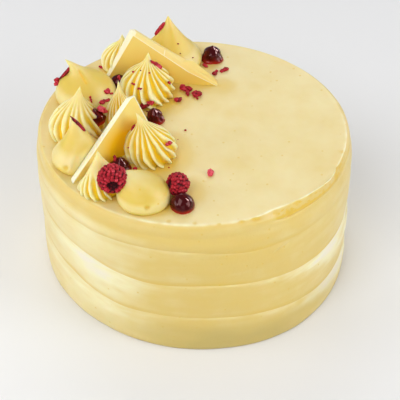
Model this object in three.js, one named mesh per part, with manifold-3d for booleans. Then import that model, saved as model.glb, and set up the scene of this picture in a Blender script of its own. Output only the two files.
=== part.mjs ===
// White chocolate cake: a round iced cake with broad scraped bands on its side. On its top left lie
// piped kisses and swirls of buttercream, two shards of white chocolate, dots of jam and raspberries.
// Millimetres, +Z up, origin at the middle of the base. The cake is solid, as an uncut cake is.
import * as THREE from 'three';
import { mergeVertices } from 'three/addons/utils/BufferGeometryUtils.js';
import Module from 'manifold-3d';

const wasm = await Module();
wasm.setup();

// Cake body
const CAKE_HEIGHT = 110;
const CAKE_RADIUS = 106;
const TOP_SHIFT = { x: -4.4, y: -0.5 };
const BODY_SIDES = 80;

// Pieces that touch keep this gap
const GAP = 0.3;

const TURN = Math.PI * 2;
const DEGREE = Math.PI / 180;
const MERGE_DISTANCE = 1e-4;

// Side profile: height, and radius past CAKE_RADIUS. Four scraped bands end in small ledges.
const SIDE_PROFILE = [
  [0, -0.9], [1.2, 0.1], [15, -0.1], [27.6, 0.3], [29.4, -0.8], [44, 0.3], [57.6, 1.2],
  [59.6, 0.4], [74, 1], [87, 1.3], [89.4, 0.3], [96, 0.1], [102.5, -0.9],
];

// The soft top edge is a quarter of an ellipse from the side to the rim of the flat top
const EDGE_STEPS = [22, 45, 68];
const RIM_RADIUS = 100.4;
const TOP_INSET = 3;

// Waves of each ring: count, size and where the first crest stands in degrees
const BASE_WAVES = [[2, 0.25, 0], [2, -0.88, 90], [3, -0.36, 0]];
const SIDE_WAVES = [[2, 1.94, 0], [2, 0.53, 90], [3, 0.85, 0], [3, -0.17, 90]];
const RIM_WAVES = [[1, -1.5, 90], [2, 3, 0], [2, 1.2, 90]];

// The side draws in towards the top at the rear
const REAR_PULL = 6;
const REAR_ANGLE = 100;

// Raised lip of icing round the right front of the top edge
const LIP_HEIGHT = 1.1;
const LIP_MIDDLE = -32;
const LIP_HALF_ANGLE = 58;

// Piped profiles: share of the height, and share of the radius. The last row is the tip.
const SLENDER_PROFILE = [
  [0, 0.97], [0.07, 1.09], [0.17, 1.1], [0.28, 0.96], [0.4, 0.76], [0.52, 0.58], [0.64, 0.42],
  [0.76, 0.27], [0.86, 0.15], [0.94, 0.07], [1, 0],
];
const FULL_PROFILE = [
  [0, 0.96], [0.07, 1.06], [0.17, 1.08], [0.28, 1.04], [0.4, 0.94], [0.52, 0.76], [0.64, 0.5],
  [0.76, 0.29], [0.86, 0.16], [0.94, 0.08], [1, 0],
];
const BLUNT_PROFILE = [
  [0, 0.94], [0.1, 1.01], [0.25, 1], [0.42, 0.95], [0.58, 0.8], [0.72, 0.6], [0.84, 0.4],
  [0.94, 0.21], [1, 0],
];
const SWIRL_PROFILE = [
  [0, 0.9], [0.07, 0.98], [0.18, 1.02], [0.3, 0.97], [0.42, 0.84], [0.54, 0.64], [0.65, 0.42],
  [0.75, 0.24], [0.85, 0.12], [0.93, 0.06], [1, 0],
];
const CONE_PROFILE = [
  [0, 0.95], [0.07, 1], [0.18, 0.99], [0.3, 0.88], [0.42, 0.73], [0.54, 0.57], [0.65, 0.42],
  [0.75, 0.28], [0.85, 0.16], [0.93, 0.08], [1, 0],
];
const JAM_PROFILE = [
  [0, 0.92], [0.16, 1], [0.4, 0.93], [0.6, 0.74], [0.77, 0.46], [0.9, 0.2], [1, 0],
];

// Plain kisses: place on the top, size, and how far the tip leans
const KISS_SIDES = 20;
const KISSES = [
  { name: 'kiss_front_left', x: -79.5, y: -39.7, radius: 16.4, height: 34.8, lean: [-4, 3.6],
    bend: 2.5, profile: SLENDER_PROFILE },
  { name: 'kiss_front', x: -34.9, y: -75.7, radius: 17.6, height: 21.4, lean: [-12.9, 1.2],
    bend: 2.9, profile: BLUNT_PROFILE },
  { name: 'kiss_left', x: -79.8, y: 27.7, radius: 19.5, height: 29.6, lean: [-14.2, 4.2],
    bend: 3.6, profile: FULL_PROFILE },
  { name: 'kiss_rear', x: -22.9, y: 71, radius: 20.3, height: 36.6, lean: [-2, 5.8],
    bend: 2.7, profile: SLENDER_PROFILE },
];

// Ridged swirls, piped through a star nozzle with many teeth: groove depth as a share of the radius,
// and the turn of the ridges from the tip down to the base in degrees
const RIDGES = 16;
const GROOVE_DEPTH = 0.13;
const SWIRL_TWIST = 20;
const SWIRLS = [
  { name: 'swirl_right', x: -32.1, y: -31.2, radius: 17.7, height: 35, lean: [-10.3, 0.9],
    bend: 2.2, profile: SWIRL_PROFILE },
  { name: 'swirl_centre', x: -37.6, y: 34.4, radius: 19.2, height: 33, lean: [0.5, 3.8],
    bend: 2.5, profile: SWIRL_PROFILE },
  { name: 'swirl_front', x: -63.9, y: -66.4, radius: 15.2, height: 28, lean: [-1.8, 4.4],
    bend: 1.5, profile: CONE_PROFILE },
  { name: 'swirl_left', x: -83.5, y: -10.9, radius: 18.4, height: 37, lean: [2.8, 4.4],
    bend: 2.6, profile: SWIRL_PROFILE },
  { name: 'swirl_slim', x: -54.3, y: -2.7, radius: 10.4, height: 39.8, lean: [-1.2, 0],
    bend: 2.2, profile: SWIRL_PROFILE },
  { name: 'swirl_rear', x: -56, y: 66, radius: 15.6, height: 26, lean: [-0.6, 1.5],
    bend: 2.2, profile: SWIRL_PROFILE },
];

// Dots of jam. The one that stands raised lies on the icing beside it.
const JAM_SIDES = 14;
const JAM_BEND = 2;
const JAMS = [
  { name: 'jam_rear', x: 7.2, y: 77, radius: 7.1, height: 11.2, rise: 0, lean: [0, 0.5] },
  { name: 'jam_behind', x: -58, y: 42, radius: 6.4, height: 10, rise: 0, lean: [0.5, 0.5] },
  { name: 'jam_left', x: -71.4, y: -9.4, radius: 7.2, height: 10, rise: 10.5, lean: [-0.5, 0] },
  { name: 'jam_middle', x: -30.8, y: 5.5, radius: 6.7, height: 10.4, rise: 0, lean: [-1.5, 0] },
  { name: 'jam_front_left', x: -50.4, y: -46.6, radius: 6.8, height: 10, rise: 0, lean: [0, 0] },
  { name: 'jam_front_right', x: -9.6, y: -81.6, radius: 7.7, height: 10.2, rise: 0, lean: [-1, 0.5] },
];

// Shards of white chocolate. Each outline is in the slab's own plane, from its corner on the cake:
// along the bottom, then up the slab. It changes with the depth behind the face, as broken edges do.
const SHARDS = [
  {
    name: 'shard_rear', corner: [11.6, 45.4], turn: 177.2, lean: 10, back: -1,
    cuts: [
      { depth: 0, outline: [[0, 0], [77.9, 0], [60.3, 35.8], [59.2, 35.2], [38.4, 21.5], [26, 13.4],
        [21.1, 10.1], [0.5, 0.5]] },
      { depth: 1.6, outline: [[0, 0], [78.4, 0], [60.9, 37.4], [58.4, 37.8], [37.9, 25.4], [26, 16.4],
        [20, 12.5], [0, 1.4]] },
      { depth: 5.6, outline: [[0.6, 0], [79.2, 0], [63, 37.6], [59.8, 38], [41.8, 27.3], [23.6, 17],
        [18.4, 16.6], [2.6, 3.8]] },
    ],
  },
  {
    name: 'shard_front', corner: [-82, -63.6], turn: 43.5, lean: 12, back: 1,
    cuts: [
      { depth: 0, outline: [[0, 0], [73, 0], [60.2, 39.3], [56.6, 39], [0.4, 1.4]] },
      { depth: 4.6, outline: [[1.4, 0], [75.6, 0], [63, 36.9], [56.2, 37.8], [2.8, 2.4]] },
    ],
  },
];

// Freeze-dried raspberries: centre, radius, length along the axis, and the way the hollow faces
const BERRY_SIDES = 16;
const BERRY_PROFILE = [
  [-1, 0.34], [-0.93, 0.62], [-0.7, 0.9], [-0.3, 1], [0.15, 0.94], [0.5, 0.76], [0.78, 0.5],
  [0.94, 0.24],
];
const HOLLOW_DEPTH = 0.5;
const BERRIES = [
  { name: 'raspberry_left', centre: [-55.4, -75, 17.6], radius: 9.9, length: 18.6,
    faces: [0.05, -0.92, -0.39] },
  { name: 'raspberry_right', centre: [-12.1, -69.4, 8.4], radius: 7.7, length: 15.6,
    faces: [-0.87, -0.37, 0.33] },
];

// Pieces of broken raspberry: what each lies on, its two ends above the cake's top, and its width
const CRUMB_JITTER = 0.22;
const CRUMB_SEED = 7;
const CRUMBS = [
  { on: 'kiss_rear', from: [-27.2, 73.6, 31.4], to: [-31.8, 73.4, 24], width: 2.8 },
  { on: 'kiss_left', from: [-91.4, 29.8, 21.4], to: [-96, 31, 15], width: 3.4 },
  { on: 'kiss_left', from: [-98.6, 29.8, 12.6], to: [-99.6, 28, 11.6], width: 4 },
  { on: 'kiss_left', from: [-75.8, 11.8, 13.6], to: [-74.5, 9.4, 10.4], width: 1.8 },
  { on: 'kiss_left', from: [-64.9, 18.3, 12.2], to: [-63.4, 20.4, 11.8], width: 3.4 },
  { on: 'kiss_left', from: [-62.5, 19.9, 10], to: [-60.5, 22.3, 8.6], width: 2.4 },
  { on: 'kiss_left', from: [-68.6, 11, 9], to: [-66, 13.4, 8.8], width: 3.4 },
  { on: 'kiss_left', from: [-65.2, 14, 8.6], to: [-63, 16.8, 7.8], width: 3 },
  { on: 'kiss_front_left', from: [-82.4, -37.2, 33.2], to: [-76.8, -38.4, 26.2], width: 1.8 },
  { on: 'jam_left', from: [-70.2, -9, 20], to: [-66.6, -8.4, 16.8], width: 4 },
  { on: 'jam_left', from: [-73.6, -13.4, 18], to: [-71.8, -14.4, 16.6], width: 3.2 },
  { on: 'jam_behind', from: [-57.4, 41.2, 9.6], to: [-56.8, 39, 7.8], width: 2.4 },
  { on: 'jam_front_left', from: [-54.6, -45.8, 6.6], to: [-54.8, -45, 12.6], width: 2.2 },
  { on: 'swirl_centre', from: [-34.8, 35.4, 27.6], to: [-31.4, 38.2, 23.4], width: 2.4 },
  { on: 'swirl_centre', from: [-31, 37.8, 22.4], to: [-27.8, 39.2, 19.2], width: 2.6 },
  { on: 'swirl_centre', from: [-36.8, 18.4, 2.6], to: [-34, 16.8, 6.6], width: 3.4 },
  { on: 'swirl_centre', from: [-47.6, 25.3, 15.8], to: [-46.2, 23.5, 16], width: 1.8 },
  { on: 'swirl_centre', from: [-43.3, 20.5, 14.6], to: [-40.7, 20.4, 15.4], width: 1.8 },
  { on: 'swirl_centre', from: [-23, 30.1, 14.4], to: [-21.4, 30.3, 12.8], width: 2.4 },
  { on: 'swirl_right', from: [-45.2, -28.4, 19.6], to: [-43.4, -28.8, 22], width: 3.2 },
  { on: 'swirl_right', from: [-21.4, -37.3, 14.2], to: [-18.9, -34, 13.4], width: 3 },
  { on: 'cake_body', from: [-72.2, 62.2, 0.6], to: [-70.5, 60.9, 0.6], width: 2.2 },
  { on: 'cake_body', from: [-13.6, 42.6, 0.9], to: [-9.2, 42.4, 0.9], width: 3.6 },
  { on: 'cake_body', from: [-10.4, 37.4, 0.7], to: [-9.4, 33, 0.7], width: 2.8 },
  { on: 'cake_body', from: [-4.7, 35.3, 0.9], to: [-1.4, 35.4, 0.9], width: 3.8 },
  { on: 'cake_body', from: [-16, 28.6, 0.9], to: [-14.4, 28.8, 0.9], width: 3.8 },
  { on: 'cake_body', from: [1.6, 68.2, 0.7], to: [3.5, 66.3, 0.7], width: 2.6 },
  { on: 'cake_body', from: [8.3, 57.8, 0.8], to: [10.6, 61.3, 0.8], width: 3.2 },
  { on: 'cake_body', from: [13.6, 61.5, 0.8], to: [18.3, 64.5, 0.8], width: 3 },
  { on: 'cake_body', from: [7, -50.4, 1], to: [8.5, -48, 1], width: 4 },
];

// How far the waves of a ring reach at an angle
function wave(waves, angle) {
  let sum = 0;
  for (const [count, size, phase] of waves) {
    sum += size * Math.cos(count * angle - phase * DEGREE);
  }
  return sum;
}

// Closed geometry through rings of equal count, from the bottom up, with an end point at each end
function loft(rings, start, end) {
  const count = rings[0].length;
  const points = [start, ...rings.flat(), end];
  const faces = [];
  const last = points.length - 1;
  for (let j = 0; j < count; j += 1) {
    const next = (j + 1) % count;
    faces.push(0, 1 + next, 1 + j);
    for (let i = 0; i < rings.length - 1; i += 1) {
      const low = 1 + i * count;
      const high = low + count;
      faces.push(low + j, low + next, high + next, low + j, high + next, high + j);
    }
    const top = 1 + (rings.length - 1) * count;
    faces.push(top + j, top + next, last);
  }
  const geometry = new THREE.BufferGeometry();
  geometry.setAttribute('position', new THREE.Float32BufferAttribute(points.flat(), 3));
  geometry.setIndex(faces);
  return geometry;
}

// A geometry with its shared corners merged
function mergedGeometry(geometry) {
  const bare = geometry.clone();
  bare.deleteAttribute('normal');
  bare.deleteAttribute('uv');
  return mergeVertices(bare, MERGE_DISTANCE);
}

// The solid inside a closed geometry
function solidOf(geometry) {
  const merged = mergedGeometry(geometry);
  const vertProperties = new Float32Array(merged.attributes.position.array);
  const triVerts = new Uint32Array(merged.index.array);
  return new wasm.Manifold(new wasm.Mesh({ numProp: 3, vertProperties, triVerts }));
}

// The surface of a solid as a geometry
function geometryOf(solid) {
  const mesh = solid.getMesh();
  const geometry = new THREE.BufferGeometry();
  geometry.setAttribute('position', new THREE.Float32BufferAttribute(mesh.vertProperties, 3));
  geometry.setIndex(Array.from(mesh.triVerts));
  geometry.computeVertexNormals();
  return geometry;
}

// The cake: rings up the side, over the soft top edge, with the lip round the right front
function cakeBody() {
  const sideRadius = (height, past, angle) => {
    const share = height / CAKE_HEIGHT;
    const pull = REAR_PULL * Math.max(0, Math.cos(angle - REAR_ANGLE * DEGREE)) ** 3 * share ** 2;
    const waves = wave(BASE_WAVES, angle) * (1 - share) + wave(SIDE_WAVES, angle) * share;
    return CAKE_RADIUS + past - pull + waves;
  };
  const rimRadius = (angle) => RIM_RADIUS + wave(RIM_WAVES, angle);
  const ring = (height, radiusAt, liftAt = () => 0) => {
    const share = height / CAKE_HEIGHT;
    return Array.from({ length: BODY_SIDES }, (_, j) => {
      const angle = (j / BODY_SIDES) * TURN;
      const radius = radiusAt(angle);
      return [
        TOP_SHIFT.x * share + radius * Math.cos(angle),
        TOP_SHIFT.y * share + radius * Math.sin(angle),
        height + liftAt(angle),
      ];
    });
  };
  const rings = SIDE_PROFILE.map(([height, past]) => {
    return ring(height, (angle) => sideRadius(height, past, angle));
  });
  const [shoulder, shoulderPast] = SIDE_PROFILE[SIDE_PROFILE.length - 1];
  EDGE_STEPS.forEach((step) => {
    const height = shoulder + (CAKE_HEIGHT - shoulder) * Math.sin(step * DEGREE);
    rings.push(ring(height, (angle) => {
      const rim = rimRadius(angle);
      return rim + (sideRadius(shoulder, shoulderPast, angle) - rim) * Math.cos(step * DEGREE);
    }));
  });
  rings.push(ring(CAKE_HEIGHT, rimRadius, (angle) => {
    const fromLip = Math.acos(Math.cos(angle - LIP_MIDDLE * DEGREE)) / (LIP_HALF_ANGLE * DEGREE);
    return fromLip < 1 ? LIP_HEIGHT * Math.cos((fromLip * Math.PI) / 2) ** 2 : 0;
  }));
  rings.push(ring(CAKE_HEIGHT, (angle) => rimRadius(angle) - TOP_INSET));
  return loft(rings, [0, 0, 0], [TOP_SHIFT.x, TOP_SHIFT.y, CAKE_HEIGHT]);
}

// A piped piece: rings up a profile whose axis leans, ridged or round. Grown by a margin, it is the
// room that it needs. A tip grows by more, so that the slopes beside it keep the margin.
const TIP_GROWTH = 3;
function piped(piece, sides, ridged, grow) {
  const base = CAKE_HEIGHT + GAP + (piece.rise ?? 0);
  const along = (share) => {
    const sway = share ** piece.bend;
    return [piece.x + piece.lean[0] * sway, piece.y + piece.lean[1] * sway];
  };
  const rings = piece.profile.slice(0, -1).map(([share, wide]) => {
    const [x, y] = along(share);
    const twist = ridged ? SWIRL_TWIST * DEGREE * (1 - share) ** 2 : 0;
    const height = base + share * piece.height - (share ? 0 : grow);
    return Array.from({ length: sides }, (_, j) => {
      const groove = ridged && j % 2 ? 1 - GROOVE_DEPTH : 1;
      const radius = piece.radius * wide * groove + grow;
      const angle = (j / sides) * TURN + twist;
      return [x + radius * Math.cos(angle), y + radius * Math.sin(angle), height];
    });
  });
  const tip = [...along(1), base + piece.height + TIP_GROWTH * grow];
  return loft(rings, [piece.x, piece.y, base - grow], tip);
}

// Middle of some points
function middleOf(points) {
  const start = points[0].map(() => 0);
  return points.reduce((sum, point) => sum.map((value, k) => value + point[k] / points.length), start);
}

// Outline whose corners move out from its middle. They move by more than the margin, so that the
// sides between them keep it.
const CORNER_GROWTH = 2;
function widened(outline, margin) {
  const middle = middleOf(outline);
  return outline.map((point) => {
    const reach = Math.hypot(point[0] - middle[0], point[1] - middle[1]);
    const stretch = 1 + (CORNER_GROWTH * margin) / reach;
    return point.map((value, k) => middle[k] + (value - middle[k]) * stretch);
  });
}

// A shard: its outline at each depth, joined into a slab that leans back on its bottom edge
function shard(piece, grow) {
  const turn = piece.turn * DEGREE;
  const lean = piece.lean * DEGREE;
  const along = new THREE.Vector3(Math.cos(turn), Math.sin(turn), 0);
  const behind = new THREE.Vector3(-Math.sin(turn), Math.cos(turn), 0).multiplyScalar(piece.back);
  const up = new THREE.Vector3(0, 0, Math.cos(lean)).addScaledVector(behind, Math.sin(lean));
  const inward = new THREE.Vector3(0, 0, -Math.sin(lean)).addScaledVector(behind, Math.cos(lean));
  const foot = new THREE.Vector3(...piece.corner, CAKE_HEIGHT + GAP);
  const place = ([u, v], depth) => {
    const level = depth * Math.tan(lean) - grow;
    const point = foot.clone().addScaledVector(along, u).addScaledVector(inward, depth);
    return point.addScaledVector(up, Math.max(v, level)).toArray();
  };
  const middleDepth = piece.cuts[piece.cuts.length - 1].depth / 2;
  const rings = piece.cuts.map(({ depth, outline }) => {
    const moved = depth + grow * Math.sign(depth - middleDepth);
    return widened(outline, grow).map((point) => place(point, moved));
  });
  const ordered = piece.back > 0 ? rings.reverse() : rings;
  return loft(ordered, middleOf(ordered[0]), middleOf(ordered[ordered.length - 1]));
}

// A raspberry: rings round its axis, with a hollow sunk into the open end
function raspberry(piece, grow) {
  const facing = new THREE.Vector3(...piece.faces).normalize();
  const turn = new THREE.Quaternion().setFromUnitVectors(new THREE.Vector3(0, 0, -1), facing);
  const centre = new THREE.Vector3(...piece.centre).add(new THREE.Vector3(0, 0, CAKE_HEIGHT));
  const half = piece.length / 2;
  const place = (x, y, z) => new THREE.Vector3(x, y, z).applyQuaternion(turn).add(centre).toArray();
  const rings = BERRY_PROFILE.map(([share, wide]) => {
    const radius = piece.radius * wide + grow;
    return Array.from({ length: BERRY_SIDES }, (_, j) => {
      const angle = (j / BERRY_SIDES) * TURN;
      return place(radius * Math.cos(angle), radius * Math.sin(angle), share * (half + grow));
    });
  });
  const sunk = grow ? -half - grow : -half + HOLLOW_DEPTH * piece.radius;
  return loft(rings, place(0, 0, sunk), place(0, 0, half + grow));
}

// A crumb: a lump with uneven corners, stretched between its two ends
function crumb(piece, random) {
  const from = new THREE.Vector3(...piece.from);
  const to = new THREE.Vector3(...piece.to);
  const middle = from.clone().lerp(to, 0.5).add(new THREE.Vector3(0, 0, CAKE_HEIGHT));
  const along = to.clone().sub(from);
  const half = new THREE.Vector3(along.length() + piece.width, piece.width, piece.width).divideScalar(2);
  const turn = new THREE.Quaternion();
  turn.setFromUnitVectors(new THREE.Vector3(1, 0, 0), along.normalize());
  const geometry = mergedGeometry(new THREE.IcosahedronGeometry(1, 0));
  const corners = geometry.attributes.position;
  const corner = new THREE.Vector3();
  for (let i = 0; i < corners.count; i += 1) {
    corner.fromBufferAttribute(corners, i).multiplyScalar(1 + CRUMB_JITTER * (random() - 0.5));
    corner.multiply(half).applyQuaternion(turn).add(middle);
    corners.setXYZ(i, corner.x, corner.y, corner.z);
  }
  return geometry;
}

// Random numbers from 0 to 1, the same on every run
const RANDOM_FACTOR = 1664525;
const RANDOM_ADDED = 1013904223;
const RANDOM_RANGE = 2 ** 32;
function seededRandom(seed) {
  let state = seed;
  return () => {
    state = (state * RANDOM_FACTOR + RANDOM_ADDED) % RANDOM_RANGE;
    return state / RANDOM_RANGE;
  };
}

// Every topping, firmest first: each later one makes way for those before it
const toppings = [];
function topping(piece, kind, make) {
  toppings.push({ name: piece.name, kind, body: solidOf(make(0)), room: solidOf(make(GAP)) });
}
SHARDS.forEach((piece) => topping(piece, 'chocolate', (grow) => shard(piece, grow)));
BERRIES.forEach((piece) => topping(piece, 'berry', (grow) => raspberry(piece, grow)));
JAMS.forEach((piece) => {
  const dot = { ...piece, bend: JAM_BEND, profile: JAM_PROFILE };
  topping(piece, 'jam', (grow) => piped(dot, JAM_SIDES, false, grow));
});
KISSES.forEach((piece) => topping(piece, 'cream', (grow) => piped(piece, KISS_SIDES, false, grow)));
SWIRLS.forEach((piece) => topping(piece, 'cream', (grow) => piped(piece, RIDGES * 2, true, grow)));

// Whether the boxes round two solids meet
function touches(first, second) {
  const a = first.boundingBox();
  const b = second.boundingBox();
  return [0, 1, 2].every((k) => a.min[k] < b.max[k] && b.min[k] < a.max[k]);
}

// The largest separate part of a solid
function largest(solid) {
  const parts = solid.decompose();
  return parts.reduce((best, part) => (part.volume() > best.volume() ? part : best), parts[0]);
}

toppings.forEach((item, place) => {
  for (const earlier of toppings.slice(0, place)) {
    if (touches(item.body, earlier.room)) {
      item.body = item.body.subtract(earlier.room);
    }
  }
  item.body = largest(item.body);
});

// The broken raspberry is one with what it lies on, and stays clear of everything else
const body = { name: 'cake_body', kind: 'cream', body: solidOf(cakeBody()) };
const random = seededRandom(CRUMB_SEED);
CRUMBS.forEach((piece) => {
  const host = [body, ...toppings].find((item) => item.name === piece.on);
  let lump = solidOf(crumb(piece, random));
  for (const other of toppings) {
    if (other !== host && touches(lump, other.room)) {
      lump = lump.subtract(other.room);
    }
  }
  host.body = largest(host.body.add(lump));
});

// Colours and finish of each kind of piece
const MATERIALS = {
  cream: { color: 0xf0dc90, roughness: 0.55, metalness: 0 },
  chocolate: { color: 0xf4e4ac, roughness: 0.4, metalness: 0 },
  jam: { color: 0x3c0a10, roughness: 0.12, metalness: 0 },
  berry: { color: 0x9c1a30, roughness: 0.8, metalness: 0 },
};

const cake = new THREE.Group();
[body, ...toppings].forEach((item) => {
  const material = new THREE.MeshStandardMaterial(MATERIALS[item.kind]);
  const mesh = new THREE.Mesh(geometryOf(item.body), material);
  mesh.name = item.name;
  cake.add(mesh);
});

export default cake;
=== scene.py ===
# A white chocolate cake with piped buttercream, chocolate shards, jam and raspberries, dressed for
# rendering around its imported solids. Shapes are worked out in millimetres and scaled to metres last.
import math
import random

import bmesh
import bpy
from mathutils import Matrix, Vector
from mathutils.noise import noise


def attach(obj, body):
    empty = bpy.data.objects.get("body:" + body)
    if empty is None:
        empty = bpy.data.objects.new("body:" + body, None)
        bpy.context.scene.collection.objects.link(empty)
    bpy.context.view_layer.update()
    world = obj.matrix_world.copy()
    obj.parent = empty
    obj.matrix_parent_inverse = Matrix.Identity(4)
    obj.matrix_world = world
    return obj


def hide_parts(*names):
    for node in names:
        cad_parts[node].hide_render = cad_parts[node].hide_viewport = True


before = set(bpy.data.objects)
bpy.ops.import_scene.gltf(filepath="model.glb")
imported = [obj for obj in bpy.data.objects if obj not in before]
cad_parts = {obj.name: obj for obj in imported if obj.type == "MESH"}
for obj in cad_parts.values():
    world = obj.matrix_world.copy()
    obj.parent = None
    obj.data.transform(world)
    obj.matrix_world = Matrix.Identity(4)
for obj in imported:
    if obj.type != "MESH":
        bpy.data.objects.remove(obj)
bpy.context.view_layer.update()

MM = 0.001

# Camera: it looks down on the cake from the front, from far off through a long lens.
CAMERA_PLACE = (0, -967.43 * MM, 907.84 * MM)
LOOK_DOWN = math.radians(41.8)
LOOK_RIGHT = math.radians(0.112)
TILT = math.radians(2)
LENS_MM = 165.05
SENSOR_MM = 36
CLIP_START = 0.05

camera = bpy.data.objects.new("camera", bpy.data.cameras.new("camera"))
scene = bpy.context.scene
scene.collection.objects.link(camera)
scene.camera = camera
camera.data.lens = LENS_MM
camera.data.sensor_width = SENSOR_MM
camera.data.clip_start = CLIP_START
camera.matrix_world = (
    Matrix.Translation(CAMERA_PLACE)
    @ Matrix.Rotation(-LOOK_RIGHT, 4, "Z")
    @ Matrix.Rotation(math.radians(90) - LOOK_DOWN, 4, "X")
    @ Matrix.Rotation(TILT, 4, "Z")
)

# Studio: a pale floor under broad soft lights. Each light is a square panel that faces the cake.
FLOOR_SIDE = 8.0
FLOOR_COLOUR = (0.82, 0.82, 0.82, 1)
FLOOR_ROUGHNESS = 0.9
ROOM_COLOUR = (0.96, 0.97, 1.0, 1)
ROOM_STRENGTH = 0.36
AIM = Vector((0, 0, 90 * MM))
# Place, side and power of each panel
PANELS = {
    "panel_above": ((-0.5, -0.95, 1.5), 1.0, 12.6),
    "panel_behind": ((-0.4, 1.5, 1.5), 1.2, 9),
    "panel_left": ((-1.7, -0.35, 0.55), 0.9, 10.6),
    "panel_right": ((1.6, -0.6, 0.8), 1.0, 13.4),
    "panel_front": ((0.5, -1.9, 0.8), 1.2, 3.4),
}
# These are seen only in the gloss: a pale sheen on the top and on the ledges, and sparks on the jam.
SHEEN_PANELS = {
    "sheen_behind": ((0.1, 1.6, 1.35), 1.2, 10),
    "sheen_corner": ((1.3, 0.9, 0.35), 0.7, 8),
    "spark_right": ((1.3, 0.25, 1.25), 0.42, 20),
    "spark_left": ((-1.1, -0.9, 0.9), 0.16, 4),
}


def new_material(name):
    material = bpy.data.materials.new(name)
    material.use_nodes = True
    return material


def plug(material, node, sockets):
    """Sets each named socket of a node to a constant, or links another node's output to it."""
    for socket, value in sockets.items():
        if isinstance(value, bpy.types.NodeSocket):
            material.node_tree.links.new(value, node.inputs[socket])
        else:
            node.inputs[socket].default_value = value


def surface(material, sockets):
    """Sets the sockets of a material's own shader."""
    plug(material, material.node_tree.nodes["Principled BSDF"], sockets)


floor_mesh = bmesh.new()
bmesh.ops.create_grid(floor_mesh, x_segments=2, y_segments=2, size=FLOOR_SIDE / 2)
floor = bpy.data.objects.new("floor", bpy.data.meshes.new("floor"))
floor_mesh.to_mesh(floor.data)
floor_mesh.free()
scene.collection.objects.link(floor)
floor_paint = new_material("floor_paint")
surface(floor_paint, {"Base Color": FLOOR_COLOUR, "Roughness": FLOOR_ROUGHNESS})
floor.data.materials.append(floor_paint)

room = bpy.data.worlds.new("room")
scene.world = room
room.use_nodes = True
plug(room, room.node_tree.nodes["Background"], {"Color": ROOM_COLOUR, "Strength": ROOM_STRENGTH})
scene.view_settings.view_transform = "Standard"

for name, (place, side, power) in {**PANELS, **SHEEN_PANELS}.items():
    light = bpy.data.lights.new(name, "AREA")
    light.size = side
    light.energy = power
    holder = bpy.data.objects.new(name, light)
    scene.collection.objects.link(holder)
    holder.visible_diffuse = name in PANELS
    turn = (AIM - Vector(place)).to_track_quat("-Z", "Y").to_matrix().to_4x4()
    holder.matrix_world = Matrix.Translation(place) @ turn

# The iced cake: buttercream scraped smooth round the side in four broad bands, each ending in a thin
# ledge. Its outline is spun round the axis, and then every point is moved to the uneven hand-made form.
CAKE_HEIGHT = 110
CAKE_RADIUS = 106
TOP_SHIFT = Vector((-4.4, -0.5))
RIM_RADIUS = 100.4
SHOULDER = 101
EDGE_WIDTH = 10
TOP_INSET = 2.5
ICING_TURNS = 512
# The section of the edge is a quarter circle at 1, and squarer below it
EDGE_SQUARENESS = 0.72
# Waves of the outline: how many go round the cake, how far they swell, and the angle where they do
BASE_WAVES = ((2, 0.25, 0), (2, -0.88, 90), (3, -0.36, 0))
SIDE_WAVES = ((2, 1.94, 0), (2, 0.53, 90), (3, 0.85, 0), (3, -0.17, 90))
RIM_WAVES = ((1, -1.5, 90), (2, 3, 0), (2, 1.2, 90))
# The upper side is drawn in by this much at this angle
REAR_PULL = 6
REAR_ANGLE = math.radians(100)
# Unevenness of the side: its size, how closely it changes round the cake, and over what height
SWELLS = ((0.7, 1.7, 40), (0.3, 6, 9))
# Height, and radius past the cake's, of the side without its bands
SIDE_CURVE = (
    (0, -0.9), (1.5, 0), (15, 0.1), (44, 0.4), (74, 0.9), (90, 0.6), (96, 0.1), (101, -0.8),
)
# Each ledge is a shelf that faces a little upwards. Its row says, at an angle round the cake, how high
# it runs, how far the shelf stands out at its foot, how far down that foot is, and how pale the painted
# highlight below it is.
LEDGES = {
    28.5: (
        (-180, 34, 0.4, 8, 0.2), (-142, 36, 0.3, 12, 0.4), (-132, 32.5, 0.25, 16, 0.6),
        (-117, 29.5, 0.25, 14, 0.5), (-104, 30, 0.35, 6, 0.25), (-85, 30.2, 0.5, 1.6, 0.2),
        (-62, 27.4, 0.7, 3, 0.35), (-44, 23.2, 1.2, 6, 0.9), (-27, 20.5, 1.5, 8, 1.5),
        (-8, 20, 1.4, 8, 1.4), (40, 24, 1, 6, 0.5), (110, 29, 0.8, 5, 0.4), (180, 34, 0.4, 8, 0.2),
    ),
    59: (
        (-180, 62, 0.4, 9, 0.2), (-142, 63.8, 0.3, 12, 0.5), (-132, 63.5, 0.25, 20, 1),
        (-118, 60, 0.25, 18, 0.9), (-104, 58.6, 0.4, 6, 0.35), (-85, 60.5, 0.5, 1.5, 0.2),
        (-65, 57.6, 0.7, 2.5, 0.35), (-50, 55, 1.2, 6, 0.8), (-38, 53.8, 1.6, 9, 1.3),
        (-22, 52.6, 1.7, 11, 1.6), (-8, 52, 1.4, 9, 1.4), (40, 55, 1, 6, 0.5),
        (110, 60, 0.8, 5, 0.4), (180, 62, 0.5, 9, 0.2),
    ),
    88.5: (
        (-180, 88, 0.4, 7, 0.1), (-145, 88.4, 0.3, 10, 0.2), (-122, 89.9, 0.25, 11, 0.2),
        (-108, 90.4, 0.3, 7, 0.25), (-90, 90.3, 0.4, 1.4, 0.2), (-76, 87.7, 0.35, 1.3, 0.2),
        (-66, 85.6, 0.3, 1.3, 0.1), (-52, 85.8, 0.1, 2, 0), (-20, 86, 0.1, 4, 0),
        (30, 87, 0.4, 5, 0.2), (100, 89, 0.7, 6, 0.4), (180, 88, 0.4, 7, 0.1),
    ),
}
# Of a ledge's step and of its painted highlight: the usual share of it, and its broad and its fine changes
STEP_CHANGES = (1, 0.4, 0.35)
HIGHLIGHT_CHANGES = (0.75, 0.8, 0.4)
# A shelf is straight at 1 and more hollow above it; a band bulges by this much
SHELF_CURVE = 2.3
BAND_BULGE = 0.6
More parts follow.
